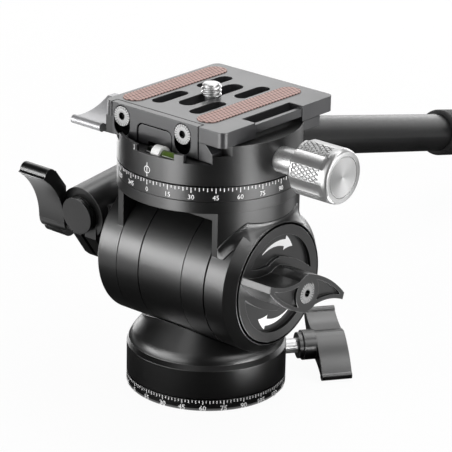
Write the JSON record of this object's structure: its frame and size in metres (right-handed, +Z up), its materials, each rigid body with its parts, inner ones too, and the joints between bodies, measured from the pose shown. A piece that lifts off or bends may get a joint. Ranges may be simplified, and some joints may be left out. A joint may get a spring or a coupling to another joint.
{
  "type": "fluid video head",
  "caption": "Compact fluid video head: pan base, tilting drum in a yoke, rotating panorama top, quick-release plate with camera screw, lock wings and a bent pan handle.",
  "frame": {"origin": "centre of the base's underside, at the mouth of the tripod socket", "axes": "+Z up along the pan axis, +X along the tilt axis to the tilt-lock wing, +Y to the handle"},
  "size_m": [0.107, 0.279, 0.096],
  "materials": {
    "black_anodised": "satin",
    "grey_anodised": "satin",
    "bright_metal": "brushed",
    "inner_steel": "plain",
    "brake_brass": "plain",
    "washer_plastic": "matte",
    "black_rubber": "matte",
    "strip_rubber": "dotted",
    "grip_foam": "matte",
    "level_black": "matte",
    "level_green": "gloss",
    "level_white": "gloss"
  },
  "bodies": {
    "mount_base": {"base_plate": "black_anodised", "base_pad": "black_rubber", "thread_bush": "inner_steel", "pan_retainer": "inner_steel", "retainer_screws": "inner_steel"},
    "pan_body": {"base_housing": "black_anodised", "pan_washer": "washer_plastic", "pan_brake_pad": "brake_brass", "tilt_core": "black_anodised", "core_screws": "inner_steel", "drum_ring_a": "black_anodised", "drum_ring_b": "black_anodised", "bearing_left": "inner_steel", "bearing_right": "inner_steel", "damping_plates": "inner_steel"},
    "pan_lock": {"pan_lock_screw": "bright_metal", "pan_lock_collar": "bright_metal", "pan_lock_wing": "black_anodised"},
    "tilt_yoke": {"yoke": "black_anodised", "scale_ring": "black_anodised", "tilt_shaft": "inner_steel", "damping_discs": "inner_steel", "left_cap": "black_anodised", "handle_bracket": "black_anodised"},
    "tilt_lock": {"tilt_knob": "black_anodised", "tilt_knob_screw": "bright_metal", "tilt_stud": "inner_steel"},
    "handle_lock": {"handle_lever": "black_anodised", "handle_screw": "bright_metal"},
    "pan_handle": {"handle_bar": "black_anodised", "handle_plug": "black_anodised", "handle_grip": "grip_foam", "grip_cap": "grip_foam"},
    "panorama_top": {"pano_drum": "black_anodised", "pano_pivot": "inner_steel", "pano_brake": "brake_brass", "level_holder": "level_black", "level_vial": "level_green", "level_band": "level_white", "jaw_pins": "inner_steel"},
    "panorama_lock": {"pano_knob": "bright_metal", "pano_screw": "bright_metal"},
    "clamp_jaw": {"moving_jaw": "black_anodised"},
    "clamp_handle": {"clamp_lever": "bright_metal", "clamp_screw": "bright_metal"},
    "release_plate": {"plate": "grey_anodised", "strip_left": "strip_rubber", "strip_right": "strip_rubber", "flange_screws": "bright_metal"},
    "plate_stop": {"stop_flange": "grey_anodised"},
    "screw_slide": {"screw_clip": "inner_steel"},
    "camera_bolt": {"camera_screw": "bright_metal"}
  },
  "joints": [
    {"name": "pan", "type": "hinge", "parent": "mount_base", "child": "pan_body", "pos_m": [0, 0, 0.0102], "axis": [0, 0, 1], "continuous": true},
    {"name": "pan_lock_turn", "type": "hinge", "parent": "pan_body", "child": "pan_lock", "pos_m": [0.0172, 0.0246, 0.0087], "axis": [-0.5736, -0.8192, 0], "range_deg": [0, 60]},
    {"name": "tilt", "type": "hinge", "parent": "pan_body", "child": "tilt_yoke", "pos_m": [0, 0, 0.0402], "axis": [1, 0, 0], "range_deg": [-75, 85]},
    {"name": "tilt_lock_turn", "type": "hinge", "parent": "tilt_yoke", "child": "tilt_lock", "pos_m": [0.0282, 0, 0.0402], "axis": [1, 0, 0], "range_deg": [0, 90]},
    {"name": "handle_lock_turn", "type": "hinge", "parent": "tilt_yoke", "child": "handle_lock", "pos_m": [-0.047, -0.0125, 0.0428], "axis": [1, 0, 0], "range_deg": [0, 100]},
    {"name": "handle_swing", "type": "hinge", "parent": "tilt_yoke", "child": "pan_handle", "pos_m": [-0.03805, -0.0164, 0.0502], "axis": [0, 0.9936, 0.1132], "range_deg": [-120, 120]},
    {"name": "panorama", "type": "hinge", "parent": "tilt_yoke", "child": "panorama_top", "pos_m": [0, 0, 0.0742], "axis": [0, 0, 1], "continuous": true},
    {"name": "panorama_lock_turn", "type": "hinge", "parent": "panorama_top", "child": "panorama_lock", "pos_m": [0.0374, 0, 0.0802], "axis": [1, 0, 0], "range_deg": [0, 180]},
    {"name": "clamp_turn", "type": "hinge", "parent": "panorama_top", "child": "clamp_handle", "pos_m": [-0.03, 0, 0.0784], "axis": [-1, 0, 0], "range_deg": [0, 150]},
    {"name": "jaw_open", "type": "slide", "parent": "panorama_top", "child": "clamp_jaw", "axis": [-1, 0, 0], "range_m": [0, 0.0003]},
    {"name": "plate_slide", "type": "slide", "parent": "panorama_top", "child": "release_plate", "axis": [0, 1, 0], "range_m": [0, 0.01]},
    {"name": "stop_lift", "type": "slide", "parent": "release_plate", "child": "plate_stop", "axis": [0, 0, 1], "range_m": [0, 0.003]},
    {"name": "screw_shift", "type": "slide", "parent": "release_plate", "child": "screw_slide", "axis": [0, 1, 0], "range_m": [-0.01, 0.01]},
    {"name": "screw_turn", "type": "hinge", "parent": "screw_slide", "child": "camera_bolt", "pos_m": [-0.0037, 0.0045, 0.092], "axis": [0, 0, 1], "continuous": true}
  ],
  "couplings": [
    {"joint": "clamp_turn", "follows": "jaw_open", "rad_per_m": 8720}
  ]
}
